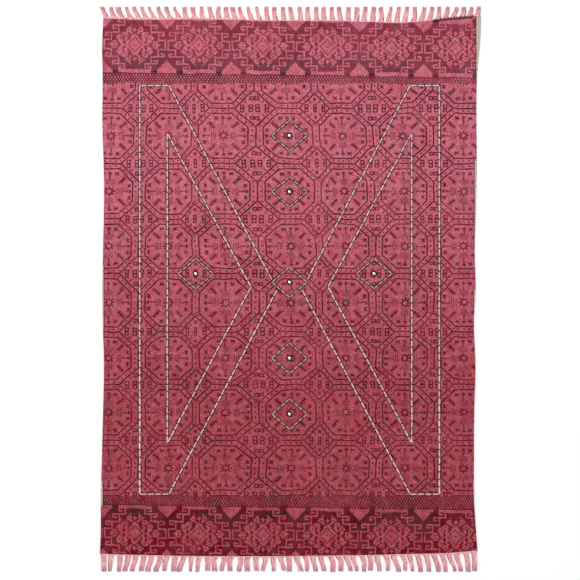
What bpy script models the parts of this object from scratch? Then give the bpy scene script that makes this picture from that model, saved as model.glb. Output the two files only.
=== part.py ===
"""A flat-woven cotton dhurrie, block printed and overdyed rose, lying face up on z = 0.

Pale yarn is stitched on it in two pointed figures, two triangles and seven diamonds. Each
diamond has a small round mirror in it, held by a ring of dark thread. The warp ends make a
fringe at both ends. Metres, +Z up, +Y along the length, origin at the middle of the underside.
"""

import math
import random

import bmesh
import bpy
import numpy as np

MM = 0.001
PIECE_GAP = 0.0003

CLOTH_THICKNESS = 0.003
CLOTH_TOP = CLOTH_THICKNESS + PIECE_GAP
END_SPANS = 60
SIDE_SPANS = 34

# The cloth's long edges. Place runs from -1 at the bottom end to 1 at the top end, and the
# distances are from the centre line, in millimetres.
LONG_EDGES = (
    # place, left, right
    (-1.00, 608.0, 599.0),
    (-0.90, 604.8, 593.0),
    (-0.79, 605.0, 587.5),
    (-0.66, 602.0, 588.2),
    (-0.48, 598.0, 588.8),
    (-0.30, 595.0, 593.0),
    (-0.14, 598.4, 587.5),
    (-0.02, 600.5, 593.6),
    (0.11, 598.4, 590.0),
    (0.28, 595.0, 594.0),
    (0.44, 595.5, 597.0),
    (0.63, 600.3, 595.5),
    (0.78, 599.0, 598.0),
    (0.90, 600.6, 607.5),
    (1.00, 597.0, 610.0),
)
# The cloth's two ends, in the same way. Place runs from -1 at the left edge to 1 at the right.
END_EDGES = (
    # place, bottom, top
    (-1.00, 844.0, 868.0),
    (-0.75, 848.0, 864.5),
    (-0.45, 851.2, 865.5),
    (-0.10, 851.2, 861.0),
    (0.20, 849.5, 860.5),
    (0.45, 847.0, 856.5),
    (0.56, 845.0, 854.5),
    (0.70, 843.5, 860.0),
    (0.85, 841.0, 870.0),
    (1.00, 833.0, 877.5),
)
LEFT, RIGHT = 1, 2
BOTTOM, TOP = 1, 2

TASSELS = 47
STRANDS_A_TASSEL = 3
STRAND_WIDTH = 0.0044
STRAND_HEIGHT = 0.0026
STRAND_STEPS = 3
STRAND_TAPER = 0.93
STRAND_SPREAD = 0.0007
STRIP_WIDTH = 0.004
# The strip stops this far short of the cloth's corners, in the places of the tables below.
STRIP_END = 0.0015
TASSEL_WANDER = 0.0022

# How far the tips of the tassels lie to the right of their roots, in millimetres.
FRINGE_LEAN = (
    # place, bottom, top
    (-1.0, -1.0, -15.0),
    (-0.6, -12.0, -16.0),
    (-0.4, -5.0, -7.0),
    (-0.25, -3.0, -12.0),
    (-0.05, 3.0, -4.0),
    (0.25, 13.0, -1.0),
    (0.5, 12.0, 6.0),
    (0.8, 14.0, 11.0),
    (1.0, 6.0, 9.0),
)

YARN_WIDTH = 0.006
YARN_HEIGHT = 0.0022
YARN_EDGE = 0.0007

# The stitched work is laid out from this line along the length.
WORK_CENTRE_X = -1.5 * MM
# Each pointed figure starts and ends at the middle diamond. Millimetres, for the right side.
FIGURE_CORNERS = (
    # across, along
    (56.0, 32.0),
    (386.0, 654.0),
    (479.0, 654.0),
    (479.0, -653.0),
    (386.0, -653.0),
    (40.0, 0.0),
)
TRIANGLE_CORNERS = (
    # across, along
    (123.0, 10.0),
    (391.0, 501.0),
    (391.0, -490.0),
)
DIAMOND_HALF_WIDTH = 0.055
DIAMOND_HALF_LENGTH = 0.048
DIAMOND_CENTRES = (
    # across, along
    (0.0, 494.0),
    (0.0, 314.0),
    (0.0, 25.0),
    (0.0, -218.0),
    (0.0, -397.0),
    (-300.0, 52.0),
    (270.5, 52.5),
)

MIRROR_RADIUS = 0.0048
MIRROR_EDGE_HEIGHT = 0.0012
MIRROR_DOME_HEIGHT = 0.0016
# The dome's shoulder, as shares of the radius and of the dome's height.
MIRROR_SHOULDER = (0.6, 0.7)
MIRROR_STEPS = 16
RING_THREAD_RADIUS = 0.0021
RING_HEIGHT = 0.0022

COLOURS = {
    # finish: base colour, roughness, metallic
    "rose_cloth": ((0.48, 0.09, 0.14), 0.95, 0.0),
    "pink_warp": ((0.90, 0.38, 0.43), 0.90, 0.0),
    "pale_yarn": ((0.60, 0.34, 0.30), 0.90, 0.0),
    "dark_thread": ((0.03, 0.01, 0.012), 0.85, 0.0),
    "mirror_glass": ((0.90, 0.90, 0.90), 0.08, 1.0),
}


def clear_scene():
    for thing in list(bpy.data.objects):
        bpy.data.objects.remove(thing, do_unlink=True)


def finish_of(piece, finish):
    """Gives a piece a material of its own in one of the named finishes."""
    colour, roughness, metallic = COLOURS[finish]
    material = bpy.data.materials.new(f"{piece.name}_{finish}")
    material.use_nodes = True
    shader = material.node_tree.nodes["Principled BSDF"]
    shader.inputs["Base Color"].default_value = (*colour, 1.0)
    shader.inputs["Roughness"].default_value = roughness
    shader.inputs["Metallic"].default_value = metallic
    piece.data.materials.append(material)


def put_in(group, piece, finish):
    """Names the collection that a new piece belongs to, and dresses it."""
    for old in piece.users_collection:
        old.objects.unlink(piece)
    group.objects.link(piece)
    finish_of(piece, finish)


def smooth_row(rows, column, place):
    """A table's column read at any place, on a smooth curve through its rows."""
    places = np.array([row[0] for row in rows])
    values = np.array([row[column] for row in rows])
    slopes = np.gradient(values, places)
    before = int(np.clip(np.searchsorted(places, place) - 1, 0, len(rows) - 2))
    span = places[before + 1] - places[before]
    part = (place - places[before]) / span
    rise = part * part * (3 - 2 * part)
    leave = part * (1 - part) ** 2 * span * slopes[before]
    arrive = part * part * (part - 1) * span * slopes[before + 1]
    return values[before] * (1 - rise) + values[before + 1] * rise + leave + arrive


def cloth_point(across, along):
    """A point of the cloth, from places between -1 and 1, in metres."""
    left, right = (smooth_row(LONG_EDGES, side, along) for side in (LEFT, RIGHT))
    bottom, top = (smooth_row(END_EDGES, end, across) for end in (BOTTOM, TOP))
    x = (right * (1 + across) - left * (1 - across)) / 2
    y = (top * (1 + along) - bottom * (1 - along)) / 2
    return x * MM, y * MM


def cloth_outline():
    """The points round the cloth, anticlockwise from the bottom left corner."""
    ends = np.linspace(-1, 1, END_SPANS + 1)
    sides = np.linspace(-1, 1, SIDE_SPANS + 1)
    points = [cloth_point(across, -1) for across in ends[:-1]]
    points += [cloth_point(1, along) for along in sides[:-1]]
    points += [cloth_point(across, 1) for across in ends[:0:-1]]
    points += [cloth_point(-1, along) for along in sides[:0:-1]]
    return points


def poly_curve(name, points, closed):
    """A curve object through points in the XY plane."""
    curve = bpy.data.curves.new(name, "CURVE")
    curve.dimensions = "2D"
    spline = curve.splines.new("POLY")
    spline.points.add(len(points) - 1)
    for point, (x, y) in zip(spline.points, points):
        point.co = (x, y, 0.0, 1.0)
    spline.use_cyclic_u = closed
    return bpy.data.objects.new(name, curve)


def woven_cloth(group):
    """The cloth with its hems, one flat piece with the uneven outline that it was woven to."""
    cloth = poly_curve("woven_cloth", cloth_outline(), closed=True)
    cloth.data.fill_mode = "BOTH"
    cloth.data.extrude = CLOTH_THICKNESS / 2
    cloth.location.z = CLOTH_THICKNESS / 2
    put_in(group, cloth, "rose_cloth")


def strand_columns():
    """The places across the cloth of every strand's two sides, and the strip's two ends."""
    pitch = 2 / TASSELS
    half_width = cloth_point(1, 0)[0]
    strand = STRAND_WIDTH / half_width
    columns = [-1 + STRIP_END]
    for tassel in range(TASSELS):
        middle = -1 + pitch * (tassel + 0.5)
        first = middle - strand * STRANDS_A_TASSEL / 2
        columns += [first + strand * side for side in range(STRANDS_A_TASSEL + 1)]
    return columns + [1 - STRIP_END]


def fringe_strip(columns, end):
    """The narrow strip that holds the strands' roots, along one end of the cloth."""
    outward = 1 if end == TOP else -1
    strip = bmesh.new()
    last = len(columns) - 1
    bmesh.ops.create_grid(strip, x_segments=last, y_segments=1, size=1)
    for point in strip.verts:
        across = columns[round((point.co.x + 1) / 2 * last)]
        width = STRIP_WIDTH if point.co.y * outward > 0 else 0.0
        x, y = cloth_point(across, outward)
        point.co = (x, y + outward * (PIECE_GAP + width), 0.0)
    raised = bmesh.ops.extrude_face_region(strip, geom=strip.faces[:])["geom"]
    top_points = [item for item in raised if isinstance(item, bmesh.types.BMVert)]
    bmesh.ops.translate(strip, verts=top_points, vec=(0.0, 0.0, STRAND_HEIGHT))
    bmesh.ops.recalc_face_normals(strip, faces=strip.faces[:])
    return strip


def draw_out(strip, root, reach, lean, spread):
    """Draws one strand out of its root face: aslant first, then straight, thinner as it goes."""
    tip = root
    gone = 0.0
    for step in range(1, STRAND_STEPS + 1):
        part = step / STRAND_STEPS
        aside = lean * (1 - (1 - part) ** 2) + spread * part
        tip = bmesh.ops.extrude_discrete_faces(strip, faces=[tip])["faces"][0]
        middle = tip.calc_center_median()
        for point in tip.verts:
            point.co.x = middle.x + (point.co.x - middle.x) * STRAND_TAPER + aside - gone
            point.co.y += reach / STRAND_STEPS
            point.co.z *= STRAND_TAPER
        gone = aside


def fringe(group, name, end, tip_line, tip_wander, seed):
    """One end's fringe: tassels of strands whose tips reach an almost straight line."""
    outward = 1 if end == TOP else -1
    draw = random.Random(seed)
    columns = strand_columns()
    strip = fringe_strip(columns, end)
    outer_faces = [face for face in strip.faces if face.normal.y * outward > 0.7]
    outer_faces.sort(key=lambda face: face.calc_center_median().x)
    for tassel in range(TASSELS):
        across = -1 + 2 * (tassel + 0.5) / TASSELS
        lean = smooth_row(FRINGE_LEAN, end, across) * MM
        lean += draw.uniform(-TASSEL_WANDER, TASSEL_WANDER)
        first = tassel * (STRANDS_A_TASSEL + 1) + 1
        for number, root in enumerate(outer_faces[first : first + STRANDS_A_TASSEL]):
            tip = tip_line + draw.uniform(-tip_wander, tip_wander)
            reach = outward * tip - root.calc_center_median().y
            spread = (number - (STRANDS_A_TASSEL - 1) / 2) * STRAND_SPREAD
            draw_out(strip, root, reach, lean, spread)
    mesh = bpy.data.meshes.new(name)
    strip.to_mesh(mesh)
    strip.free()
    put_in(group, bpy.data.objects.new(name, mesh), "pink_warp")


def stitched_line(group, name, corners, closed):
    """A raised line of yarn on the cloth, along straight runs between corners."""
    line = poly_curve(name, corners, closed)
    line.data.fill_mode = "NONE"
    line.data.extrude = YARN_HEIGHT / 2
    line.location.z = CLOTH_TOP + YARN_HEIGHT / 2
    wall = line.modifiers.new("yarn_width", "SOLIDIFY")
    wall.thickness = YARN_WIDTH
    wall.offset = 0.0
    wall.use_even_offset = True
    rounding = line.modifiers.new("yarn_edge", "BEVEL")
    rounding.width = YARN_EDGE
    rounding.segments = 1
    put_in(group, line, "pale_yarn")


def stitched_work(group):
    """The figures, triangles and diamonds that are outlined in yarn."""
    for side_name, side in (("left", -1), ("right", 1)):
        for shape, corners, closed in (
            ("figure", FIGURE_CORNERS, False),
            ("triangle", TRIANGLE_CORNERS, True),
        ):
            points = [(WORK_CENTRE_X + side * x * MM, y * MM) for x, y in corners]
            stitched_line(group, f"stitched_{shape}_{side_name}", points, closed)
    for number, (x, y) in enumerate(DIAMOND_CENTRES, 1):
        x, y = WORK_CENTRE_X + x * MM, y * MM
        points = [
            (x + DIAMOND_HALF_WIDTH, y),
            (x, y + DIAMOND_HALF_LENGTH),
            (x - DIAMOND_HALF_WIDTH, y),
            (x, y - DIAMOND_HALF_LENGTH),
        ]
        stitched_line(group, f"stitched_diamond_{number}", points, closed=True)


def mirror(group, name, x, y):
    """A small domed mirror, turned from its half section."""
    dome_top = MIRROR_EDGE_HEIGHT + MIRROR_DOME_HEIGHT
    shoulder_out, shoulder_up = MIRROR_SHOULDER
    section = (
        # radius, height
        (0.0, dome_top),
        (MIRROR_RADIUS * shoulder_out, MIRROR_EDGE_HEIGHT + MIRROR_DOME_HEIGHT * shoulder_up),
        (MIRROR_RADIUS, MIRROR_EDGE_HEIGHT),
        (MIRROR_RADIUS, 0.0),
        (0.0, 0.0),
    )
    curve = bpy.data.curves.new(name, "CURVE")
    curve.dimensions = "3D"
    spline = curve.splines.new("POLY")
    spline.points.add(len(section) - 1)
    for point, (radius, height) in zip(spline.points, section):
        point.co = (radius, 0.0, height, 1.0)
    disc = bpy.data.objects.new(name, curve)
    disc.location = (x, y, CLOTH_TOP)
    turn = disc.modifiers.new("turned", "SCREW")
    turn.axis = "Z"
    turn.steps = turn.render_steps = MIRROR_STEPS
    turn.use_merge_vertices = True
    turn.merge_threshold = 0.00005
    put_in(group, disc, "mirror_glass")


def thread_ring(group, name, x, y):
    """The ring of dark thread round a mirror, wider than it is high and six-sided in section."""
    bpy.ops.mesh.primitive_torus_add(
        major_segments=20,
        minor_segments=6,
        major_radius=MIRROR_RADIUS + PIECE_GAP + RING_THREAD_RADIUS,
        minor_radius=RING_THREAD_RADIUS,
        location=(x, y, CLOTH_TOP + RING_HEIGHT / 2),
    )
    ring = bpy.context.object
    ring.name = ring.data.name = name
    section_height = 2 * RING_THREAD_RADIUS * math.sin(math.pi / 3)
    ring.scale.z = RING_HEIGHT / section_height
    ring.data.shade_smooth()
    put_in(group, ring, "dark_thread")


def sewn_mirrors(group):
    for number, (x, y) in enumerate(DIAMOND_CENTRES, 1):
        x, y = WORK_CENTRE_X + x * MM, y * MM
        mirror(group, f"mirror_{number}", x, y)
        thread_ring(group, f"thread_ring_{number}", x, y)


clear_scene()
dhurrie = bpy.data.collections.new("dhurrie")
bpy.context.scene.collection.children.link(dhurrie)
woven_cloth(dhurrie)
fringe(dhurrie, "fringe_top", TOP, tip_line=0.9065, tip_wander=0.0008, seed=3)
fringe(dhurrie, "fringe_bottom", BOTTOM, tip_line=0.901, tip_wander=0.0035, seed=8)
stitched_work(dhurrie)
sewn_mirrors(dhurrie)
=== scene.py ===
import math
import random

import bpy
import numpy as np
from mathutils import Matrix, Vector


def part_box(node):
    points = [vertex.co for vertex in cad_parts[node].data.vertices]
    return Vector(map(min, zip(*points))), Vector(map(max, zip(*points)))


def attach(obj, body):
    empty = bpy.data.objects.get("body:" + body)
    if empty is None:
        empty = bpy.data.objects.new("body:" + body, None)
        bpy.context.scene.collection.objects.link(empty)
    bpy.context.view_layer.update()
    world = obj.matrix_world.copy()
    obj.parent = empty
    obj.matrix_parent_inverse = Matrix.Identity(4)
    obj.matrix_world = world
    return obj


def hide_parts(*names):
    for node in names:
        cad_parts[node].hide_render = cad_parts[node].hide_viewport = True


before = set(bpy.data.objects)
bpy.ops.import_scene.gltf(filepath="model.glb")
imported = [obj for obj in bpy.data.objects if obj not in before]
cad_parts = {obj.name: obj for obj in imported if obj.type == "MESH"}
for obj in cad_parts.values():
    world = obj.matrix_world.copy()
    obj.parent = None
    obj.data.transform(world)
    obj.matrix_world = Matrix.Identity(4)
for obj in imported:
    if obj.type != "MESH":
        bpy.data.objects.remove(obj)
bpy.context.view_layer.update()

# The cloth is a flat weave of cotton, its weft packed over lengthwise ribs of warp. It keeps the
# uneven outline that it came off the loom with, and lies on the floor in very low swells.
MM = 0.001
RIBS = 180
CLOTH_ROWS = 100
RIB_HEIGHT = 0.0004
SWELL = 0.0003
RIPPLE = 0.0006
HALF_WIDTH = 0.6
RIM_ROUNDING = 0.0007
X, Y = 0, 1
cloth_low, cloth_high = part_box("woven_cloth")
CLOTH_THICKNESS = cloth_high.z - cloth_low.z


def furthest(rim, toward_x, toward_y):
    """Which point of the rim lies furthest towards a corner."""
    return max(range(len(rim)), key=lambda i: toward_x * rim[i][X] + toward_y * rim[i][Y])


def rim_of(node):
    """The points round a flat piece, anticlockwise from its bottom left corner."""
    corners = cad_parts[node].data.vertices
    rim = sorted(
        {(round(v.co.x, 5), round(v.co.y, 5)) for v in corners if v.co.z > CLOTH_THICKNESS / 2},
        key=lambda place: math.atan2(place[Y], place[X]),
    )
    first = furthest(rim, -1, -1)
    return rim[first:] + rim[:first]


cloth_rim = rim_of("woven_cloth")
right_start, top_start, left_start = (
    furthest(cloth_rim, x, y) for x, y in ((1, -1), (1, 1), (-1, 1))
)
bottom_rim = np.array(cloth_rim[: right_start + 1])
right_rim = np.array(cloth_rim[right_start : top_start + 1])
top_rim = np.array(cloth_rim[top_start : left_start + 1])[::-1]
left_rim = np.array(cloth_rim[left_start:] + cloth_rim[:1])[::-1]


def on_rim(side, axis, place):
    """One side of the cloth read at places between -1 and 1."""
    return np.interp(place, np.linspace(-1, 1, len(side)), side[:, axis])


def cloth_point(across, along):
    """Where a place of the cloth lies. Both numbers run from -1 to 1."""
    x = on_rim(right_rim, X, along) * (1 + across) + on_rim(left_rim, X, along) * (1 - across)
    y = on_rim(top_rim, Y, across) * (1 + along) + on_rim(bottom_rim, Y, across) * (1 - along)
    return x / 2, y / 2


def cloth_lift(x, y):
    """How far the cloth's underside stands off the floor: swells, and ripples at its long sides."""
    swell = 1 + np.sin(5.1 * x + 2.3 * y + 0.4) * np.sin(3.7 * y - 2.9 * x + 1.1)
    ripple = (1 + np.sin(21 * y + 4 * x)) * np.abs(x / HALF_WIDTH) ** 10
    return SWELL * swell + RIPPLE * ripple


def points_of(piece):
    """The places of a mesh's points, a row for each."""
    points = np.zeros(len(piece.data.vertices) * 3)
    piece.data.vertices.foreach_get("co", points)
    return points.reshape(-1, 3)


def move_points(piece, points):
    piece.data.vertices.foreach_set("co", np.ravel(points))
    piece.data.update()


def apply_modifiers(piece):
    bpy.context.view_layer.objects.active = piece
    for modifier in list(piece.modifiers):
        bpy.ops.object.modifier_apply(modifier=modifier.name)


bpy.ops.object.select_all(action="DESELECT")
bpy.ops.mesh.primitive_grid_add(x_subdivisions=2 * RIBS, y_subdivisions=CLOTH_ROWS, size=2)
cloth = bpy.context.object
cloth.name = cloth.data.name = "printed_cloth"
grid = points_of(cloth)
cloth_x, cloth_y = cloth_point(grid[:, X], grid[:, Y])
valley = np.round((grid[:, X] + 1) * RIBS) % 2
cloth_z = CLOTH_THICKNESS + cloth_lift(cloth_x, cloth_y) - RIB_HEIGHT * valley
move_points(cloth, np.stack((cloth_x, cloth_y, cloth_z), axis=1))
body = cloth.modifiers.new("cloth_body", "SOLIDIFY")
body.thickness = CLOTH_THICKNESS - RIB_HEIGHT
body.offset = -1.0
rounding = cloth.modifiers.new("rim_rounding", "BEVEL")
rounding.width = RIM_ROUNDING
rounding.segments = 2
rounding.limit_method = "ANGLE"
rounding.angle_limit = math.radians(60)
apply_modifiers(cloth)
bpy.ops.object.shade_smooth()


# The print is stamped on the woven cloth by hand, with one dark ink. Its field is a trellis of
# octagons with small diamonds between them, some columns a little wider and some rows a little
# closer than the rest. Sizes of the print are in millimetres.
INK_EDGE = 0.9
LINE = 2.2
FINE_LINE = 1.8
CELL_WIDTH, CELL_LENGTH = 186.0, 178.67
COLUMNS = (
    # across, where that is in cells of even width
    (-675.0, -1.0),
    (-580.2, -0.5),
    (-486.1, 0.0),
    (-388.8, 0.5),
    (-302.4, 1.0),
    (-206.1, 1.5),
    (-99.5, 2.0),
    (4.5, 2.5),
    (94.4, 3.0),
    (178.6, 3.5),
    (274.9, 4.0),
    (368.0, 4.5),
    (460.5, 5.0),
    (555.2, 5.5),
    (649.0, 6.0),
)
TURNING_COLUMN = 4.5
PULLS = (
    # across, how far the print is pulled to the right at the top
    (-500.0, 9.6),
    (-157.0, -12.8),
    (176.0, -12.8),
    (342.0, -9.6),
    (509.0, 0.0),
)
PULL_FROM_Y, PULL_LENGTH = 77.0, 470.0
ROWS = (
    # along, where that is in cells of even length
    (-836.0, 0.0),
    (-657.6, 1.0),
    (-481.3, 2.0),
    (-302.4, 3.0),
    (-134.0, 4.0),
    (53.0, 5.0),
    (226.6, 6.0),
    (404.5, 7.0),
    (581.1, 8.0),
    (757.8, 9.0),
)
SLANT_X, SLANT_Y = 0.70, 0.714
LEVEL_INNER, LEVEL_DOTS = 72.6, 81.0
LINED_SIDE = {"upright": 71.5, "upright_dots": 82.2, "inner": 71.5, "slant_dots": 79.5, "outer": 87.5}
OPEN_SIDE = {"upright": 81.5, "upright_dots": 93.0, "inner": 78.7, "slant_dots": 86.2, "outer": 93.7}
SIDE_LENGTH = 32.5
DOT_STEP, DOT_RADIUS = 16.8, 2.7
LINED_RINGS = (
    # across from a lined column, along from the row, outer half width, outer half length
    (10.3, 6.0, 7.0, 7.0),
    (35.5, 6.0, 6.6, 6.8),
    (7.0, 32.5, 6.8, 6.0),
)
OPEN_RINGS = (
    # across from an open column, along from the row, outer half width, outer half length
    (0.0, 6.5, 5.6, 7.2),
    (28.0, 6.0, 6.4, 6.8),
    (0.0, 30.0, 4.6, 4.6),
)
LINED_DASH, OPEN_DASH = (24.5, 21.0), (15.6, 21.0)
DASH_HALF_WIDTH, DASH_HALF_LENGTH = 2.3, 3.5
FLOWER_HALF_WIDTH = 77.0
FLOWER_EDGE = 0.014
FLOWER_REACH = {
    # stroke: where it starts and ends on the way out, in shares of the octagon's half size
    "rays": (0.16, 0.23),
    "arcs": (0.28, 0.56),
    "barbs": (0.49, 0.87),
    "shafts": (0.50, 0.86),
    "stems": (0.53, 0.86),
    "heads": (0.83, 0.89),
}
RAY_HALF_WIDTH, STEM_HALF_WIDTH = 0.030, 0.031
EYE_RADIUS = 0.12
ARC_STEP, ARC_HALF_WIDTH = 0.042, 0.019
BARB_STEP, BARB_HALF_WIDTH, BARB_LENGTH = 0.045, 0.020, 0.09
BUG_OUT, BUG_ASIDE, BUG_SIZE = 0.78, 0.27, 0.082
DIAGONAL = 0.7071


class Tone:
    """A number, colour or place that varies over a piece, as a socket of its material.

    Reckoning with tones adds the Math nodes that work the result out.
    """

    def __init__(self, tree, socket=None):
        self.tree = tree
        self.socket = socket

    def node(self, kind, settings, sockets, output=0):
        """Adds a node to the same material, and gives one of its outputs."""
        node = self.tree.nodes.new(kind)
        for name, value in settings.items():
            setattr(node, name, value)
        for name, value in sockets.items():
            if isinstance(value, Tone):
                self.tree.links.new(value.socket, node.inputs[name])
            else:
                node.inputs[name].default_value = value
        return Tone(self.tree, node.outputs[output])

    def maths(self, operation, first, second=0.0, third=0.0, clamp=False):
        settings = {"operation": operation, "use_clamp": clamp}
        return self.node("ShaderNodeMath", settings, {0: first, 1: second, 2: third})

    def __add__(self, other):
        return self.maths("ADD", self, other)

    __radd__ = __add__

    def __sub__(self, other):
        return self.maths("SUBTRACT", self, other)

    def __rsub__(self, other):
        return self.maths("SUBTRACT", other, self)

    def __mul__(self, other):
        return self.maths("MULTIPLY", self, other)

    __rmul__ = __mul__

    def __truediv__(self, other):
        return self.maths("DIVIDE", self, other)

    def __mod__(self, other):
        return self.maths("FLOORED_MODULO", self, other)

    def __abs__(self):
        return self.maths("ABSOLUTE", self)

    def least(self, other):
        return self.maths("MINIMUM", self, other)

    def most(self, other):
        return self.maths("MAXIMUM", self, other)

    def whole(self):
        return self.maths("FLOOR", self)

    def folded(self, length):
        """Runs from 0 up to a length and back, again and again."""
        return self.maths("PINGPONG", self, length)

    def under(self, limit, edge):
        """1 where the number is under a limit and 0 where it is over, with a soft edge."""
        return self.maths("MULTIPLY_ADD", self, -1 / edge, limit / edge + 0.5, clamp=True)

    def over(self, limit, edge):
        return self.maths("MULTIPLY_ADD", self, 1 / edge, 0.5 - limit / edge, clamp=True)

    def between(self, low, high, edge):
        return self.over(low, edge) * self.under(high, edge)

    def noise(self, scale, detail=2.0, roughness=0.5):
        """A cloudy number from about 0.3 to 0.7, read at this place."""
        sockets = {"Vector": self, "Scale": scale, "Detail": detail, "Roughness": roughness}
        return self.node("ShaderNodeTexNoise", {}, sockets)

    def stretched(self, x, y, z):
        """This place with its axes scaled."""
        return self.node("ShaderNodeVectorMath", {"operation": "MULTIPLY"}, {0: self, 1: (x, y, z)})

    def axis(self, number):
        return self.node("ShaderNodeSeparateXYZ", {}, {0: self}, output=number)

    def ramp(self, stops, interpolation="LINEAR"):
        """Reads a curve through stops, each a place and a value, all of them from 0 to 1."""
        ramp = self.node("ShaderNodeValToRGB", {}, {0: self})
        curve = ramp.socket.node.color_ramp
        curve.interpolation = interpolation
        for place, _ in stops[2:]:
            curve.elements.new(place)
        for element, (place, value) in zip(curve.elements, stops):
            element.position = place
            element.color = (value, value, value, 1.0)
        return self.node("ShaderNodeSeparateColor", {}, {0: ramp})

    def between_colours(self, first, second):
        """The first colour where this number is 0, and the second where it is 1."""
        return self.node("ShaderNodeMix", {"data_type": "RGBA"}, {0: self, 6: first, 7: second}, output=2)


def drawn(distance, half_width=LINE):
    """Ink along the line where the distance is 0."""
    return abs(distance).under(half_width, INK_EDGE)


def any_of(*inks):
    """Ink wherever one of these has ink."""
    together = inks[0]
    for ink in inks[1:]:
        together = together.most(ink)
    return together


def row_of_dots(off_line, along_line):
    """Round dots at even steps along a line."""
    beside = along_line.folded(DOT_STEP / 2)
    square = off_line * off_line + beside * beside
    return square.under(DOT_RADIUS**2, 2 * DOT_RADIUS * INK_EDGE)


def small_ring(across, along, x, y, half_x, half_y):
    """A small squarish ring round a place, given by its outer half sizes."""
    off = (abs(across - x) - half_x).most(abs(along - y) - half_y)
    return drawn(off + FINE_LINE, FINE_LINE)


def radial_dash(across, along, x, y):
    """A short stroke that points away from the middle of a diamond."""
    stroke = drawn(across - along - (x - y), DASH_HALF_WIDTH)
    return stroke * abs(across - x).under(DASH_HALF_LENGTH, INK_EDGE)


def octagon_frame(across, along, is_open):
    """The octagon's outline, the lines between cells and the dots in the channel between them."""
    at = {name: is_open * (OPEN_SIDE[name] - size) + size for name, size in LINED_SIDE.items()}
    slant = across * SLANT_X + along * SLANT_Y
    upright, level, sloped = across - at["upright"], along - LEVEL_INNER, slant - at["inner"]
    inner = any_of(upright, level, sloped)
    outer = (along - CELL_LENGTH / 2).most(slant - at["outer"])
    down_slope = across * SLANT_Y - along * SLANT_X
    dots = any_of(
        row_of_dots(across - at["upright_dots"], along) * (upright - level.most(sloped)).over(0, 1),
        row_of_dots(along - LEVEL_DOTS, across) * (level - upright.most(sloped)).over(0, 1),
        row_of_dots(slant - at["slant_dots"], down_slope) * (sloped - upright.most(level)).over(0, 1),
    )
    return any_of(drawn(inner), drawn(outer), dots), inner.under(-2, 1)


def octagon_flower(across, along):
    """The eight-rayed flower that fills an octagon, in shares of the octagon's half sizes."""
    edge = FLOWER_EDGE
    across, along = across / FLOWER_HALF_WIDTH, along / LEVEL_INNER
    out, aside = across.most(along), across.least(along)
    square = out * out + aside * aside
    reach = square.maths("SQRT", square)
    out_slant, aside_slant = (out + aside) * DIAGONAL, (out - aside) * DIAGONAL
    rays = aside.least(aside_slant).under(RAY_HALF_WIDTH, edge) * reach.between(*FLOWER_REACH["rays"], edge)
    rays = rays.most(abs(reach - EYE_RADIUS).under(RAY_HALF_WIDTH, edge))
    stems = aside.under(STEM_HALF_WIDTH, edge) * out.between(*FLOWER_REACH["stems"], edge)
    heads = (out + aside * 0.9).between(*FLOWER_REACH["heads"], edge) * aside.under(0.08, edge)
    upright = (along - across).over(0, edge)
    curve = reach + ((out - aside * 0.9) - reach) * upright
    arcs = (curve - 0.25).folded(ARC_STEP).under(ARC_HALF_WIDTH, edge)
    arcs = arcs * reach.between(*FLOWER_REACH["arcs"], edge) * (aside - out * 0.42).under(0, edge)
    shafts = aside_slant.under(STEM_HALF_WIDTH, edge) * out_slant.between(*FLOWER_REACH["shafts"], edge)
    barbs = (out_slant + aside_slant * 0.7).folded(BARB_STEP).under(BARB_HALF_WIDTH, edge)
    barbs = barbs * aside_slant.under(BARB_LENGTH, edge) * out_slant.between(*FLOWER_REACH["barbs"], edge)
    bug_out, bug_aside = abs(out - BUG_OUT), abs(aside - BUG_ASIDE)
    arms = abs(bug_out - bug_aside).least(bug_out * 1.6).under(RAY_HALF_WIDTH, edge)
    bugs = arms * bug_out.most(bug_aside).under(BUG_SIZE, edge)
    return any_of(rays, stems * 0.8, heads, arcs * 0.8, shafts, barbs, bugs)


def diamond_marks(from_lined, from_row):
    """The small rings in the diamonds, which differ from one column of diamonds to the next."""
    from_open = CELL_WIDTH - from_lined
    return any_of(
        *(small_ring(from_lined, from_row, *ring) for ring in LINED_RINGS),
        radial_dash(from_lined, from_row, *LINED_DASH),
        *(small_ring(from_open, from_row, *ring) for ring in OPEN_RINGS),
        radial_dash(from_open, from_row, *OPEN_DASH),
    )


def map_print(piece):
    """Lays the field's cells on the cloth as a second map. Towards the top they are pulled aside."""
    points = points_of(piece) / MM
    pull = np.clip((points[:, Y] - PULL_FROM_Y) / PULL_LENGTH, 0.0, 1.3) ** 1.4
    x = points[:, X] - pull * np.interp(points[:, X], *np.transpose(PULLS))
    cells = (np.interp(x, *np.transpose(COLUMNS)), np.interp(points[:, Y], *np.transpose(ROWS)))
    corners = np.zeros(len(piece.data.loops), dtype=int)
    piece.data.loops.foreach_get("vertex_index", corners)
    places = piece.data.uv_layers.new(name="print_cells")
    places.data.foreach_set("uv", np.stack(cells, axis=1)[corners].ravel())


def field_print(cells, rows):
    """The ink of the field, read at places given in cells."""
    cells = TURNING_COLUMN - abs(cells - TURNING_COLUMN)
    from_lined = cells.folded(1.0) * CELL_WIDTH
    from_row = rows.folded(0.5) * CELL_LENGTH
    from_centre = from_lined - CELL_WIDTH / 2
    along = CELL_LENGTH / 2 - from_row
    frames, inside = octagon_frame(abs(from_centre), along, from_centre.over(0, 0.1))
    lined = drawn(from_lined) * along.under(SIDE_LENGTH, INK_EDGE)
    return any_of(
        frames,
        lined,
        octagon_flower(abs(from_centre), along) * inside,
        diamond_marks(from_lined, from_row),
    )


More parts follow.
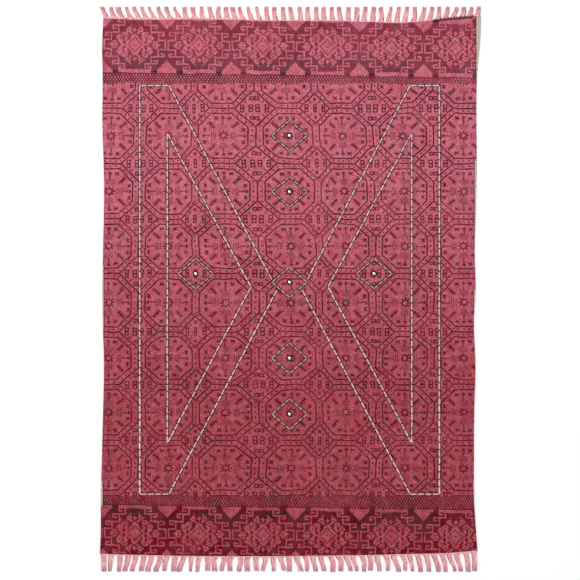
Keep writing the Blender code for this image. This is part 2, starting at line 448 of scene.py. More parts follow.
# The border at each end is a row of hooked medallions. One quarter of a medallion is charted,
# from its outer side to its middle and from its middle row to the border's edge.
MEDALLION = (
    "#.###......##....#....#",
    "#.####..#.##..##..#....",
    "#.#####...#...##...#...",
    "#......####...#..#..#..",
    "######.###..#.#..##..#.",
    "######.###....##..##..#",
    "##...#.####..#...###...",
    "##.###.######..#..###..",
    "##..........##...##..##",
    "###########.#####...##.",
    "###########.####..#.#..",
    ".######...#.#####...##.",
    "..#####.###.######.####",
    "...####.........###.###",
    "....###########.#######",
    ".....######...#.#######",
    "......#####.###.#######",
    ".......####............",
)
MEDALLION_PITCH = 205.2
MEDALLION_X = 16.8
MEDALLION_ROW = 4.75
BORDER_MIDDLE, BORDER_OFFSET = 781.6, 1.1
BORDER_SKEW, SKEW_FROM_X = 0.0133, -290.0
BAND_STEP_X, BAND_STEP_Y = 9.2, 14.8
BAND_TOP, BAND_BOTTOM = 661.0, -659.0
BAND_DOT_SIZE, BAND_DOT_EDGE = 0.62, 0.3
BORDER_EDGE = 691.0
BORDER_LINE = 1.4
WORN_ROWS = 4.0


def charted(column, row):
    """Reads the chart: 1 where a square is inked. Each row is kept as one binary number."""
    width, rows = len(MEDALLION[0]), len(MEDALLION)
    codes = [sum(2**place for place, mark in enumerate(line) if mark == "#") for line in MEDALLION]
    stops = [(number / rows, code / 2**width) for number, code in enumerate(codes)]
    line = ((row + 0.5) / rows).ramp(stops, "CONSTANT") * float(2**width)
    shifted = ((line + 0.5) / line.maths("POWER", 2.0, column)).whole()
    return shifted % 2.0


def border_print(x, y):
    """The ink of both borders, and 1 inside them."""
    half_pitch, last_column = MEDALLION_PITCH / 2, len(MEDALLION[0]) - 1
    column = ((x - MEDALLION_X).folded(half_pitch) / half_pitch * last_column + 0.5).whole()
    from_middle = abs(abs(y - BORDER_OFFSET) - BORDER_MIDDLE) / MEDALLION_ROW
    row = (from_middle + 0.5).whole().least(len(MEDALLION) - 1)
    inside = from_middle.under(len(MEDALLION) - 0.5, 0.1)
    worn_off = from_middle.under(len(MEDALLION) + 2.5, WORN_ROWS)
    return charted(column, row) * worn_off, inside


def band_print(x, y, border_y):
    """The ink of the bands of small dots between the borders and the field."""
    beside = x.folded(BAND_STEP_X / 2) / (BAND_STEP_X / 2)
    above = y.folded(BAND_STEP_Y / 2) / (BAND_STEP_Y / 2)
    dots = (beside + above).least(2.0 - beside - above).under(BAND_DOT_SIZE, BAND_DOT_EDGE)
    edge_line = drawn(abs(border_y) - BORDER_EDGE, BORDER_LINE)
    inside = any_of(y.over(BAND_TOP, 1), y.under(BAND_BOTTOM, 1)) * abs(border_y).under(BORDER_EDGE, 1)
    return ((1 - dots) * inside).most(edge_line)


# The dye is rose, deeper towards the bottom, and it takes unevenly on the yarn. The ink is maroon,
# worn thin in places and near black in others, and its lines waver as the hand did. Along parts of
# the edges the cotton is bare. The valleys between the warp ribs are painted darker as shade, and
# their crests lighter as painted light.
HAND_WANDER, HAND_TREMBLE = 9.0, 4.0
DYE_DEEP_Y, DYE_PALE_Y = -380.0, 420.0
CLOTH_HALF_LENGTH = 860.0
BARE_LINE_WIDTH = 2.6
WEFT_STEP = 1.9
BARE_EDGES = (
    # side, from, to along the length, width
    (1, 672.0, 880.0, 11.0),
    (1, 128.0, 416.0, 4.0),
    (1, -70.0, 0.0, 4.0),
    (-1, -128.0, 80.0, 4.0),
    (-1, -690.0, -610.0, 5.0),
)


def colour(red, green, blue):
    """A colour given as it looks on a screen, from 0 to 255."""
    shares = (part / 255 for part in (red, green, blue))
    return (*((part / 12.92 if part < 0.04 else ((part + 0.055) / 1.055) ** 2.4) for part in shares), 1.0)


def new_finish(name, **constants):
    """A material with its Principled shader's constants set, and the tone of the piece's places."""
    material = bpy.data.materials.new(name)
    material.use_nodes = True
    shader = material.node_tree.nodes["Principled BSDF"]
    for socket, value in constants.items():
        shader.inputs[socket.replace("_", " ")].default_value = value
    places = Tone(material.node_tree).node("ShaderNodeTexCoord", {}, {})
    places.socket = places.socket.node.outputs["Object"]
    return material, shader, places


def feed(shader, tone, socket):
    tone.tree.links.new(tone.socket, shader.inputs[socket])


def raised(height, strength, distance):
    """The bumped surface that a height between 0 and 1 gives. Distance is in metres."""
    return height.node("ShaderNodeBump", {}, {"Strength": strength, "Distance": distance, "Height": height})


GROUND_TOP, GROUND_BOTTOM = colour(188, 97, 114), colour(160, 69, 80)
MAROON, CHARCOAL, BLOOD = colour(86, 12, 22), colour(52, 22, 25), colour(98, 10, 22)
BARE_COTTON, BARE_SHADE = colour(208, 190, 178), colour(164, 142, 130)

cloth_finish, cloth_shader, cloth_places = new_finish(
    "printed_cotton", Roughness=0.95, Sheen_Weight=0.02, Specular_IOR_Level=0.08
)
place_x, place_y = cloth_places.axis(0) / MM, cloth_places.axis(1) / MM
hand_x = (cloth_places.noise(14, 1) - 0.5) * HAND_WANDER
hand_x = hand_x + (cloth_places.noise(170, 1) - 0.5) * HAND_TREMBLE
hand_y = (cloth_places.stretched(1, 1.1, 1).noise(17, 1) - 0.5) * HAND_WANDER
hand_y = hand_y + (cloth_places.stretched(1, 1.1, 1).noise(190, 1) - 0.5) * HAND_TREMBLE
print_x, print_y = place_x + hand_x, place_y + hand_y
border_y = print_y + (place_x - SKEW_FROM_X) * BORDER_SKEW
border_ink, in_border = border_print(print_x, border_y)
band_ink = band_print(print_x, print_y, border_y)
in_field = print_y.between(BAND_BOTTOM, BAND_TOP, 1)
map_print(cloth)
cell_places = cloth_places.node("ShaderNodeUVMap", {"uv_map": "print_cells"}, {})
cells = cell_places.axis(0) + hand_x / CELL_WIDTH
rows = cell_places.axis(1) + hand_y / CELL_LENGTH
ink = any_of(border_ink, band_ink, field_print(cells, rows) * in_field)

patches = cloth_places.noise(9, 3)
wear = cloth_places.stretched(1, 1.3, 1).noise(7.5, 3).over(0.47, 0.24)
specks = cloth_places.stretched(1, 1.5, 1).noise(210, 3, 0.75)
mauve = cloth_places.noise(48, 3, 0.6)
weft_streaks = cloth_places.stretched(40, 420, 1).noise(1, 2)
rib_streaks = cloth_places.stretched(330, 22, 1).noise(1, 2)

outer_half = (abs(border_y - BORDER_OFFSET) + (patches - 0.5) * 420).over(BORDER_MIDDLE, 40) * in_border
black = (patches + in_border * 0.05 + (mauve - 0.5) * 0.3).over(0.55, 0.12)
ink_colour = outer_half.between_colours(black.between_colours(MAROON, CHARCOAL), BLOOD)
strength = ink * (0.84 + wear * 0.16) * (0.78 + specks.over(0.44, 0.3) * 0.22)
strength = strength * (1 - in_border * place_y.over(0, 1) * 0.2)

height_share = place_y.node(
    "ShaderNodeMapRange", {}, {0: place_y, 1: DYE_DEEP_Y, 2: DYE_PALE_Y, 3: 1.0, 4: 0.0}
)
ground = (height_share + (patches - 0.5) * 0.9).between_colours(GROUND_TOP, GROUND_BOTTOM)
strips, strip_lines = [], []
for side, low, high, width in BARE_EDGES:
    rim, middle = right_rim if side > 0 else left_rim, (low + high) / 2
    edge_x = float(on_rim(rim, X, middle / CLOTH_HALF_LENGTH)) / MM
    inner_edge = abs(edge_x) - width
    beside, within = place_x * side, place_y.between(low, high, 12)
    strips.append(within * beside.over(inner_edge, 1.5))
    strip_lines.append(within * beside.between(inner_edge - BARE_LINE_WIDTH, inner_edge, 1.0))
bare, bare_line = any_of(*strips), any_of(*strip_lines)

weave_uv = cloth_places.node("ShaderNodeUVMap", {"uv_map": "UVMap"}, {})
half_rib = weave_uv.axis(0) * (2.0 * RIBS)
valley_share = half_rib.folded(1.0)

# Uneven dye and streaks in the weave, plus painted shade: darker in the rib valleys, lighter on the crests.
dye_mottle_and_rib_shade = (specks - 0.5) * 2.5 + (weft_streaks - 0.5) * 0.5 + (rib_streaks - 0.5) * 0.7
dye_mottle_and_rib_shade = dye_mottle_and_rib_shade + (mauve - 0.5) * 0.3 - (valley_share - 0.5) * 0.14
dyed = strength.between_colours(ground, ink_colour)
dyed = dyed.node(
    "ShaderNodeHueSaturation",
    {},
    {"Saturation": 1.0 - (mauve - 0.5) * 0.4, "Value": 1.0 + dye_mottle_and_rib_shade, "Color": dyed},
)
bare_yarn = specks.over(0.5, 0.2).between_colours(BARE_COTTON, BARE_SHADE)
dyed = (bare_line * 0.8).between_colours(dyed, CHARCOAL)
feed(cloth_shader, bare.between_colours(dyed, bare_yarn), "Base Color")

step_aside = (half_rib.whole() % 2.0) * 0.5
weft = (place_y / WEFT_STEP + step_aside).folded(0.5)
weft_height = 1.0 - weft * weft * 4.0
fuzz = cloth_places.noise(900, 2)
feed(cloth_shader, raised(weft_height * 0.6 + fuzz * 0.5, 0.5, 0.0006), "Normal")
cloth.data.materials.clear()
cloth.data.materials.append(cloth_finish)
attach(cloth, "root")
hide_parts("woven_cloth")


# The fringe is the warp's own ends. Twined cords hold them along each end of the cloth, and they
# are drawn together into tassels, which leave the edge aslant and then lie straight. Each tassel
# has one yarn that took the dark ink.
TASSELS = 47
YARNS_A_TASSEL = 9
YARN_RADIUS = 0.00095
DARK_YARN_RADIUS = 0.0007
YARN_STEPS = 9
ROOT_WIDTH = 0.0168
TASSEL_WIDTH = 0.0128
TWINE_RADIUS = 0.0013
TWINE_STEP, TWINE_TURN = 0.006, 1.1
TWINE_HEIGHT = 0.85
TIP_REACH = 0.88
ROOT_INSET = 0.002
DARK_YARN_LIFT = 0.0009
OUTER_FROM_X = 0.35
OUTER_REACHES, INNER_REACHES = (4, 5, 6, 9), (3, 4, 4, 5)
TWIST_STEP = 0.0032
TIP_FADE_FROM, TIP_FADE_EDGE = 0.893, 0.022
TWINES = (
    # end, how far out from the cloth's edge, from, to across
    (1, 0.0012, -1.0, 1.0),
    (1, 0.0034, -1.0, -0.25),
    (1, 0.0054, -1.0, -0.5),
    (-1, 0.0012, -1.0, 1.0),
    (-1, 0.0034, 0.55, 1.0),
)


def laid_yarns(name, radius, runs, lobes=None):
    """One mesh of many lengths of yarn. A run is a list of (place, thickness share, turn)."""
    curve = bpy.data.curves.new(name, "CURVE")
    curve.dimensions = "3D"
    curve.twist_mode = "Z_UP"
    curve.use_fill_caps = True
    if lobes is None:
        curve.bevel_depth = radius
        curve.bevel_resolution = 1
    else:
        curve.bevel_mode = "OBJECT"
        curve.bevel_object = lobes
    for run in runs:
        spline = curve.splines.new("POLY")
        spline.points.add(len(run) - 1)
        for point, (place, share, turn) in zip(spline.points, run):
            point.co = (*place, 1.0)
            point.radius = share
            point.tilt = turn
    piece = bpy.data.objects.new(name, curve)
    bpy.context.scene.collection.objects.link(piece)
    bpy.ops.object.select_all(action="DESELECT")
    piece.select_set(True)
    bpy.context.view_layer.objects.active = piece
    bpy.ops.object.convert(target="MESH")
    bpy.ops.object.mode_set(mode="EDIT")
    bpy.ops.mesh.select_all(action="SELECT")
    bpy.ops.mesh.remove_doubles(threshold=0.00001)
    bpy.ops.mesh.normals_make_consistent(inside=False)
    bpy.ops.object.mode_set(mode="OBJECT")
    bpy.ops.object.shade_smooth()
    return piece


def plied_section(name, radius, plies):
    """The section of a yarn of two or three plies, which a turn along the yarn twists together."""
    curve = bpy.data.curves.new(name, "CURVE")
    curve.dimensions = "2D"
    spline = curve.splines.new("POLY")
    count = 4 * plies
    spline.points.add(count - 1)
    for number, point in enumerate(spline.points):
        angle = math.tau * number / count
        out = radius * (0.88 + 0.12 * math.cos(plies * angle))
        point.co = (out * math.cos(angle), out * math.sin(angle), 0.0, 1.0)
    spline.use_cyclic_u = True
    section = bpy.data.objects.new(name, curve)
    bpy.context.scene.collection.objects.link(section)
    section.hide_render = True
    return section


def sway(draw, most):
    """A random number that is as likely to be on either side of 0."""
    return draw.uniform(-most, most)


def tassel_tips(node):
    """The middle of each tassel's tip, from left to right."""
    points = {tuple(round(part, 5) for part in v.co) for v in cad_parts[node].data.vertices}
    furthest_y = max(abs(point[Y]) for point in points)
    root_y = min(abs(point[Y]) for point in points)
    tip_line = root_y + (furthest_y - root_y) * TIP_REACH
    tips = sorted(point for point in points if abs(point[Y]) > tip_line)
    return [np.mean(group, axis=0) for group in np.array_split(np.array(tips), TASSELS)]


def yarn_run(tassel, share, tip, end, wave, draw):
    """One yarn of a tassel, from the cloth's edge to its tip. Share runs from 0 to 1 across it."""
    middle = -1 + 2 * (tassel + 0.5) / TASSELS
    middle_x, root_y = cloth_point(middle, end)
    tip_x, tip_y, _ = tip
    own_tip = tip_y + end * draw.uniform(-0.0025, 0.0008)
    root = (share - 0.5) * ROOT_WIDTH
    beside = (share - 0.5) * TASSEL_WIDTH * wave["width"] + sway(draw, 0.0007)
    bow, phase = sway(draw, 0.0006), draw.uniform(0, math.tau)
    low = YARN_RADIUS + draw.uniform(0.0, 0.0012)
    run = []
    for step in range(YARN_STEPS):
        part = step / (YARN_STEPS - 1)
        aside = root * (1 - part) + beside * part
        aside += (tip_x - middle_x) * (1 - (1 - part) ** 1.7)
        aside += wave["sway"] * math.sin(math.tau * 0.8 * part) + bow * math.sin(4 * part + phase)
        start_y = root_y - end * ROOT_INSET
        y = start_y * (1 - part) + own_tip * part
        start_z = CLOTH_THICKNESS / 2 + float(cloth_lift(middle_x, root_y))
        settled = min(1.0, part * 3)
        z = start_z * (1 - settled) + low * settled
        run.append(((middle_x + aside, y, z), 1.0 - 0.25 * part**3, 0.0))
    return run


def fringe(node, end, seed):
    """One end's pale yarns and dark yarns. End is 1 at the top and -1 at the bottom."""
    draw = random.Random(seed)
    loose = 1.0 if end < 0 else 0.5
    pale, dark = [], []
    for tassel, tip in enumerate(tassel_tips(node)):
        tip = tip + np.array((sway(draw, 0.0055) * (1.6 * loose - 0.6), 0.0, 0.0))
        wave = {"width": draw.uniform(0.7, 1.1 + 0.3 * loose), "sway": sway(draw, 0.004) * loose}
        for yarn in range(YARNS_A_TASSEL):
            pale.append(yarn_run(tassel, (yarn + 0.5) / YARNS_A_TASSEL, tip, end, wave, draw))
        run = yarn_run(tassel, 0.5 + 0.46 * end, tip, end, wave, draw)
        reach = draw.choice(OUTER_REACHES if abs(tip[X]) > OUTER_FROM_X else INNER_REACHES)
        dark.append([((x, y, z + DARK_YARN_LIFT), 1.0, turn) for (x, y, z), _, turn in run[:reach]])
    pale_yarns = laid_yarns(f"fringe_{seed}", YARN_RADIUS, pale)
    return pale_yarns, laid_yarns(f"dark_{seed}", DARK_YARN_RADIUS, dark)


def twined_cord(name, end, out, first, last):
    """The cord that is twined through the warp along an end."""
    section = plied_section(name + "_section", TWINE_RADIUS, 2)
    width = float(np.ptp(top_rim[:, X])) * (last - first) / 2
    count = round(width / TWINE_STEP)
    run = []
    for step in range(count + 1):
        x, y = cloth_point(first + (last - first) * step / count, end)
        height = CLOTH_THICKNESS * TWINE_HEIGHT + float(cloth_lift(x, y))
        run.append(((float(x), float(y) + end * out, height), 1.0, step * TWINE_TURN))
    cord = laid_yarns(name, TWINE_RADIUS, [run], section)
    bpy.data.objects.remove(section)
    return cord


def joined(name, *pieces):
    """Several pieces made one, under a new name."""
    for piece in pieces:
        piece.select_set(True)
    bpy.context.view_layer.objects.active = pieces[0]
    bpy.ops.object.join()
    pieces[0].name = pieces[0].data.name = name
    return pieces[0]


def finished(piece, material, node=None):
    """Gives a piece its one material and its place in the part."""
    piece.data.materials.clear()
    piece.data.materials.append(material)
    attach(piece, "root")
    if node:
        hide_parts(node)
    return piece


thread_finish, thread_shader, thread_places = new_finish(
    "dark_thread", Roughness=0.85, Specular_IOR_Level=0.25
)
thread_cloud = thread_places.noise(60, 2).over(0.5, 0.2)
thread_colour = thread_cloud.between_colours(colour(84, 46, 46), colour(58, 30, 32))
feed(thread_shader, thread_colour, "Base Color")
feed(thread_shader, raised(thread_places.noise(1800, 2), 0.6, 0.0003), "Normal")

fringe_finish, fringe_shader, fringe_places = new_finish(
    "pink_warp_yarn", Roughness=0.9, Sheen_Weight=0.15, Specular_IOR_Level=0.2
)
fringe_cloud = fringe_places.noise(120, 2)
fringe_specks = fringe_places.noise(420, 2, 0.6)
along_yarn = fringe_places.axis(1) + fringe_places.axis(0) * 1.2
plies = (along_yarn / TWIST_STEP).folded(0.5) * 2.0
bottom_end = fringe_places.axis(1).under(0, 0.1)
tip_fade = abs(fringe_places.axis(1)).over(TIP_FADE_FROM - bottom_end * 0.006, TIP_FADE_EDGE)
tip_fade = tip_fade * (fringe_cloud * 0.4 + fringe_specks * 0.6).over(0.49, 0.1)
# Near-white streaks along the strands are painted highlights, and the darker streaks are painted shade.
strand_highlights_and_shade = fringe_places.stretched(620, 46, 1).noise(1, 2)
yarn_colour = fringe_cloud.over(0.5, 0.3).between_colours(colour(255, 176, 188), colour(255, 212, 216))
yarn_colour = strand_highlights_and_shade.over(0.56, 0.08).between_colours(yarn_colour, colour(255, 244, 240))
yarn_colour = strand_highlights_and_shade.under(0.43, 0.06).between_colours(yarn_colour, colour(238, 128, 148))
# Painted shade in the grooves between the plies, where their bump sinks.
yarn_colour = (1 - plies).over(0.62, 0.5).between_colours(yarn_colour, colour(238, 138, 154))
yarn_colour = fringe_specks.under(0.4, 0.08).between_colours(yarn_colour, colour(160, 70, 90))
tip_colour = bottom_end.between_colours(colour(160, 84, 104), colour(128, 84, 84))
yarn_colour = (tip_fade * 0.75).between_colours(yarn_colour, tip_colour)
feed(fringe_shader, yarn_colour, "Base Color")
feed(fringe_shader, raised(plies + fringe_places.noise(1500, 1) * 0.3, 0.6, 0.0003), "Normal")

twine_finish, twine_shader, twine_places = new_finish("pale_twine", Roughness=0.9, Sheen_Weight=0.15)
twine_cloud = twine_places.noise(160, 3, 0.6).over(0.5, 0.25)
twine_colour = twine_cloud.between_colours(colour(240, 150, 162), colour(255, 218, 216))
feed(twine_shader, twine_colour, "Base Color")
feed(twine_shader, raised(twine_places.noise(1500, 1), 0.5, 0.0003), "Normal")

for end_name, end, seed in (("top", 1, 5), ("bottom", -1, 6)):
    node = f"fringe_{end_name}"
    yarns, dark_yarns = fringe(node, end, seed)
    cords = [
        twined_cord(f"twine_{number}", end, out, first, last)
        for number, (at_end, out, first, last) in enumerate(TWINES)
        if at_end == end
    ]
    yarns.name = yarns.data.name = f"fringe_yarns_{end_name}"
    twine = joined(f"twined_cords_{end_name}", *cords)
    dark_yarns.name = dark_yarns.data.name = f"fringe_dark_yarns_{end_name}"
    finished(yarns, fringe_finish, node)
    finished(dark_yarns, thread_finish)
    finished(twine, twine_finish)


# The figures, triangles and diamonds are laid in thick pale yarn, which dark thread ties down every
# two centimetres and edges on both sides; the edging thread also stands as painted shade where the
# yarn sinks into the cloth. Corners are in millimetres, for the right half.
WORK_CENTRE_X = -1.5
FIGURE_CORNERS = (
    # across, along
    (56.0, 32.0),
    (386.0, 654.0),
    (479.0, 654.0),
    (479.0, -653.0),
    (386.0, -653.0),
    (40.0, 0.0),
)
TRIANGLE_CORNERS = (
    # across, along
    (123.0, 10.0),
    (391.0, 501.0),
    (391.0, -490.0),
)
DIAMONDS = 7
YARN_HALF_WIDTH = 0.0029
YARN_FLATNESS, YARN_LIFT = 0.42, 0.0001
LONG_STITCH, SHORT_STITCH = 0.0238, 0.0182
STITCH_GAP = 0.0032
TWISTS_A_METRE = 60.0
EDGE_THREAD_RADIUS, DIAMOND_THREAD_RADIUS = 0.0008, 0.0012
EDGE_OUT, EDGE_IN = 0.0037, 0.003
TIE_HEIGHT, TIE_THICKNESS = 0.0009, 1.1
TIE_ARCH = (
    # across the yarn in half widths, height in tie heights
    (-1.35, -0.2),
    (-0.7, 0.9),
    (0.0, 1.4),
    (0.7, 0.9),
    (1.35, -0.2),
)
STITCH_SHAPE = (
    # place along the stitch, height in half widths, thickness share
    (0.0, -0.5, 0.66),
    (0.08, 0.3, 0.92),
    (0.22, 0.8, 1.0),
    (0.36, 0.9, 1.0),
    (0.5, 0.9, 1.0),
    (0.64, 0.9, 1.0),
    (0.78, 0.8, 1.0),
    (0.92, 0.3, 0.92),
    (1.0, -0.5, 0.66),
)


def sides_of(corners, closed):
    """The straight runs between corners."""
    ends = corners[1:] + corners[:1] if closed else corners[1:]
    return list(zip(corners, ends))


def surface(x, y):
    """The height of the cloth's face."""
    return CLOTH_THICKNESS + float(cloth_lift(x, y))


def beside_line(line, at, off):
    """The place that far along a line and that far to its left. A line is its start and its way."""
    (start_x, start_y), (way_x, way_y) = line
    return start_x + way_x * at - way_y * off, start_y + way_y * at + way_x * off


def yarn_stitch(line, first, last, draw):
    """One stitch of pale yarn, whose ends dip under the dark thread."""
    first, last = first + sway(draw, 0.0004), last + sway(draw, 0.0004)
    aside, skew = sway(draw, 0.0004), sway(draw, 0.0005)
    thick = draw.uniform(0.9, 1.06)
    run = []
    for place, high, share in STITCH_SHAPE:
        at = first + (last - first) * place
        x, y = beside_line(line, at, aside + skew * (place - 0.5))
        run.append(((x, y, high * YARN_HALF_WIDTH), share * thick, at * TWISTS_A_METRE * math.tau))
    return run


def shade_edging_thread(line, number, step, side, radius, draw):
    """The dark thread along one side of a stitch, drawn in where it is tied; it is also painted shade."""
    run = []
    for place, out in ((0.0, EDGE_IN), (0.25, EDGE_OUT), (0.75, EDGE_OUT)):
        x, y = beside_line(line, (number + place) * step, side * (out + sway(draw, 0.0003)))
        run.append(((x, y, surface(x, y) + radius * 0.3), 1.0, 0.0))
    return run


def tying_thread(line, at, draw):
    """The turn of dark thread that ties the yarn down between two stitches."""
    run = []
    for out, high in TIE_ARCH:
        x, y = beside_line(line, at + sway(draw, 0.0002), out * YARN_HALF_WIDTH)
        run.append(((x, y, surface(x, y) + high * TIE_HEIGHT), TIE_THICKNESS, 0.0))
    return run


def stitched(name, corners, closed, stitch, thread_radius, seed, section):
    """Pale yarn along a line of corners, with dark thread that ties it down and edges it as painted shade.
    """
    draw = random.Random(seed)
    pale, dark = [], []
    for (x0, y0), (x1, y1) in sides_of(corners, closed):
        length = math.hypot(x1 - x0, y1 - y0)
        line = ((x0, y0), ((x1 - x0) / length, (y1 - y0) / length))
        count = max(1, round(length / stitch))
        step = length / count
        # The dark edging on both sides of the yarn is also painted shade, where the yarn sinks into the
        # cloth.
        shade_edges = {-1: [], 1: []}
        for number in range(count):
            first = number * step + STITCH_GAP / 2
            last = (number + 1) * step - STITCH_GAP / 2
            pale.append(yarn_stitch(line, first, last, draw))
            for side, edge in shade_edges.items():
                edge += shade_edging_thread(line, number, step, side, thread_radius, draw)
            if number:
                dark.append(tying_thread(line, number * step, draw))
        dark += list(shade_edges.values())
    yarn = laid_yarns(name, YARN_HALF_WIDTH, pale, section)
    points = points_of(yarn)
    points[:, 2] = points[:, 2] * YARN_FLATNESS + YARN_LIFT
    points[:, 2] += CLOTH_THICKNESS + cloth_lift(points[:, X], points[:, Y])
    move_points(yarn, points)
    thread = laid_yarns(name + "_thread", thread_radius, dark)
    return yarn, thread


def yarn_finish(name, pale, pink, hollow_shade):
    """Thick soft cotton yarn, its colour changing slowly along it, with painted shade in its hollows."""
    material, shader, places = new_finish(name, Roughness=0.92, Sheen_Weight=0.2, Specular_IOR_Level=0.2)
    slow, fine = places.noise(38, 2), places.stretched(1, 1, 0.4).noise(700, 3, 0.7)
    tone = slow.over(0.5, 0.2).between_colours(pale, pink)
    # Painted shade: the yarn darkens where its fine bump sinks.
    tone = fine.under(0.44, 0.14).between_colours(tone, hollow_shade)
    feed(shader, tone, "Base Color")
    feed(shader, raised(fine, 0.7, 0.0005), "Normal")
    return material


pale_finish = yarn_finish(
    "pale_yarn", colour(240, 208, 202), colour(228, 172, 178), colour(176, 126, 124)
)
olive_finish = yarn_finish(
    "olive_yarn", colour(202, 162, 144), colour(198, 142, 138), colour(132, 96, 82)
)
two_ply = plied_section("two_ply", YARN_HALF_WIDTH, 2)


def dress_stitching(node, corners, closed, stitch, thread_radius, seed, finish):
    """Puts yarn and thread in the place of one line of stitching."""
    name = node.replace("stitched", "yarn")
    yarn, thread = stitched(name, corners, closed, stitch, thread_radius, seed, two_ply)
    finished(yarn, finish, node)
    finished(thread, thread_finish)


for side_name, side in (("left", -1), ("right", 1)):
    for shape, corners, closed in (
        ("figure", FIGURE_CORNERS, False),
        ("triangle", TRIANGLE_CORNERS, True),
    ):
        points = tuple(((WORK_CENTRE_X + side * x) * MM, y * MM) for x, y in corners)
        node = f"stitched_{shape}_{side_name}"
        seed = len(node) + side
        dress_stitching(node, points, closed, LONG_STITCH, EDGE_THREAD_RADIUS, seed, pale_finish)
for number in range(1, DIAMONDS + 1):
    node = f"stitched_diamond_{number}"
    low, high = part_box(node)
    middle, half = (low + high) / 2, (high - low) / 2
    half_x, half_y = half.x - YARN_HALF_WIDTH, half.y - YARN_HALF_WIDTH
    points = (
        (middle.x + half_x, middle.y),
        (middle.x, middle.y + half_y),
        (middle.x - half_x, middle.y),
        (middle.x, middle.y - half_y),
    )
    seed = 40 + number
    dress_stitching(node, points, True, SHORT_STITCH, DIAMOND_THREAD_RADIUS, seed, olive_finish)
bpy.data.objects.remove(two_ply)


# In each diamond a small disc of silvered glass, cut by hand and a little domed, is held by a ring
# wound over with dark thread.
MIRROR_SIDES = 40
MIRROR_THICKNESS = 0.0016
DOME = (
    # inset, rise
    (0.0006, 0.0004),
    (0.0014, 0.0003),
    (0.0014, 0.0001),
)
RING_TURNS = 38
RING_STEPS = 6
RING_THREAD = 0.00042
RING_HALF_WIDTH = 0.0031

glass_finish, glass_shader, glass_places = new_finish("silvered_glass", Metallic=1.0)
spots = glass_places.noise(900, 3, 0.6)
glass_colour = spots.over(0.5, 0.3).between_colours(colour(250, 246, 246), colour(236, 214, 216))
feed(glass_shader, glass_colour, "Base Color")
feed(glass_shader, spots * 0.12 + 0.06, "Roughness")

wound_finish, wound_shader, wound_places = new_finish(
    "wound_thread", Roughness=0.8, Specular_IOR_Level=0.3
)
wound_cloud = wound_places.noise(300, 2).over(0.5, 0.3)
feed(wound_shader, wound_cloud.between_colours(colour(26, 12, 16), colour(54, 22, 30)), "Base Color")
feed(wound_shader, raised(wound_places.noise(2500, 2), 0.5, 0.0002), "Normal")


def mirror_disc(name, node):
    """A disc with a low dome, on the cloth at its node's place."""
    low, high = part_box(node)
    middle = (low + high) / 2
    radius = (high.x - low.x) / 2
    base = low.z + float(cloth_lift(middle.x, middle.y))
    bpy.ops.object.select_all(action="DESELECT")
    bpy.ops.mesh.primitive_cylinder_add(
        vertices=MIRROR_SIDES,
        radius=radius,
        depth=MIRROR_THICKNESS,
        location=(middle.x, middle.y, base + MIRROR_THICKNESS / 2),
        end_fill_type="NGON",
    )
    disc = bpy.context.object
    disc.name = disc.data.name = name
    bpy.ops.object.transform_apply(location=True)
    bpy.ops.object.mode_set(mode="EDIT")
    bpy.ops.mesh.select_all(action="DESELECT")
    bpy.ops.object.mode_set(mode="OBJECT")
    for face in disc.data.polygons:
        face.select = face.normal.z > 0.9
    bpy.ops.object.mode_set(mode="EDIT")
    for inset, rise in DOME:
        bpy.ops.mesh.inset(thickness=inset)
        bpy.ops.transform.translate(value=(0.0, 0.0, rise))
    bpy.ops.mesh.poke()
    bpy.ops.object.mode_set(mode="OBJECT")
    bpy.ops.object.shade_smooth_by_angle(angle=math.radians(40))
    return disc


def wound_ring(name, node):
    """Thread wound round a core, as high and as wide as its node."""
    low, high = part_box(node)
    middle = (low + high) / 2
    half_height = (high.z - low.z) / 2
    thread_out = (high.x - low.x) / 2
    ring_radius = thread_out - RING_HALF_WIDTH
    base = low.z + half_height + float(cloth_lift(middle.x, middle.y))
    steps = RING_TURNS * RING_STEPS
    run = []
    for step in range(steps + 1):
        round_ring = math.tau * step / steps
        round_thread = math.tau * step / RING_STEPS
        out = ring_radius + (RING_HALF_WIDTH - RING_THREAD) * math.cos(round_thread)
        z = base + (half_height - RING_THREAD) * math.sin(round_thread)
        place = (middle.x + out * math.cos(round_ring), middle.y + out * math.sin(round_ring), z)
        run.append((place, 1.0, 0.0))
    thread = laid_yarns(name, RING_THREAD, [run])
    bpy.ops.object.select_all(action="DESELECT")
    bpy.ops.mesh.primitive_torus_add(
        major_segments=32,
        minor_segments=8,
        major_radius=ring_radius,
        minor_radius=RING_HALF_WIDTH - 1.2 * RING_THREAD,
        location=(0.0, 0.0, 0.0),
    )
    core = bpy.context.object
    core.data.transform(Matrix.Diagonal((1.0, 1.0, half_height / RING_HALF_WIDTH, 1.0)))
    core.data.transform(Matrix.Translation((middle.x, middle.y, base)))
    bpy.ops.object.shade_smooth()
    thread.select_set(True)
    bpy.context.view_layer.objects.active = thread
    bpy.ops.object.join()
    return thread


for number in range(1, DIAMONDS + 1):
    disc_node, ring_node = f"mirror_{number}", f"thread_ring_{number}"
    disc = mirror_disc(f"mirror_glass_{number}", disc_node)
    finished(disc, glass_finish, disc_node)
    ring = wound_ring(f"wound_ring_{number}", ring_node)
    finished(ring, wound_finish, ring_node)


# At the right of the top end the cloth's edge is whipped with black thread, in short slanting turns
# that lie side by side over the edge.
WHIP_FROM, WHIP_TO = 0.463, 0.598
WHIP_STEP = 0.0086
WHIP_RADIUS = 0.0018
WHIP_SLANT = 0.8
WHIP_TURN = (
    # out from the cloth's edge, above its face
    (-0.0058, 0.0002),
    (-0.0040, 0.0014),
    (0.0004, 0.0014),
    (0.0030, -0.0004),
)

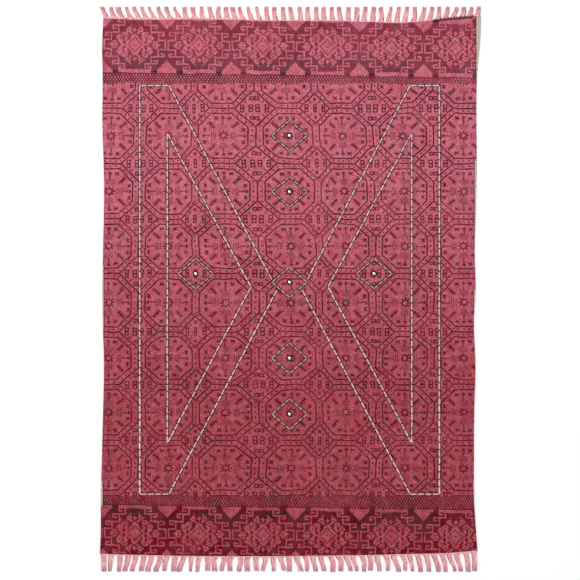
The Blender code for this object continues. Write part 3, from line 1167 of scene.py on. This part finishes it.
whips = []
whip_draw = random.Random(12)
for number in range(int((WHIP_TO - WHIP_FROM) / WHIP_STEP)):
    x = WHIP_FROM + number * WHIP_STEP + sway(whip_draw, 0.0005)
    y = float(np.interp(x, top_rim[:, X], top_rim[:, Y]))
    turn = [(x + WHIP_SLANT * out, y + out, surface(x, y) + high) for out, high in WHIP_TURN]
    whips.append([(place, 1.0, 0.0) for place in turn])
whipping = laid_yarns("whipped_edge", WHIP_RADIUS, whips)
finished(whipping, wound_finish)


# The floor is plain and white. The light is soft and comes from the upper left. The camera looks
# straight down through a long lens.
VIEW_WIDTH = 1.856
CAMERA_HEIGHT = 8.0
SENSOR_WIDTH = 36.0
FLOOR_SIZE, FLOOR_DROP = 12.0, 0.0002
ROOM_LIGHT = 0.86
LAMP_SIZE, LAMP_POWER = 3.0, 130.0

bpy.ops.object.select_all(action="DESELECT")
bpy.ops.mesh.primitive_plane_add(size=FLOOR_SIZE, location=(0.0, 0.0, -FLOOR_DROP))
floor = bpy.context.object
floor.name = "floor"
floor_finish, floor_shader, floor_places = new_finish("white_floor", Roughness=0.9, Specular_IOR_Level=0.1)
floor_cloud = floor_places.noise(1.5, 1)
floor_colour = floor_cloud.between_colours(colour(252, 252, 252), colour(250, 250, 250))
feed(floor_shader, floor_colour, "Base Color")
floor.data.materials.append(floor_finish)

world = bpy.data.worlds.new("white_room")
world.use_nodes = True
sky = world.node_tree.nodes["Background"]
sky.inputs["Color"].default_value = (1.0, 1.0, 1.0, 1.0)
sky.inputs["Strength"].default_value = ROOM_LIGHT
bpy.context.scene.world = world
bpy.context.scene.view_settings.view_transform = "Standard"

lamp = bpy.data.objects.new("soft_box", bpy.data.lights.new("soft_box", "AREA"))
lamp.data.shape = "SQUARE"
lamp.data.size = LAMP_SIZE
lamp.data.energy = LAMP_POWER
lamp.location = (-2.6, 2.6, 5.2)
lamp.rotation_euler = (-lamp.location).to_track_quat("-Z", "Y").to_euler()
bpy.context.scene.collection.objects.link(lamp)

camera = bpy.data.objects.new("camera", bpy.data.cameras.new("camera"))
camera.data.sensor_width = SENSOR_WIDTH
camera.data.lens = SENSOR_WIDTH * CAMERA_HEIGHT / VIEW_WIDTH
camera.data.clip_end = 50.0
camera.location = (0.0, 0.0, CAMERA_HEIGHT)
bpy.context.scene.collection.objects.link(camera)
bpy.context.scene.camera = camera
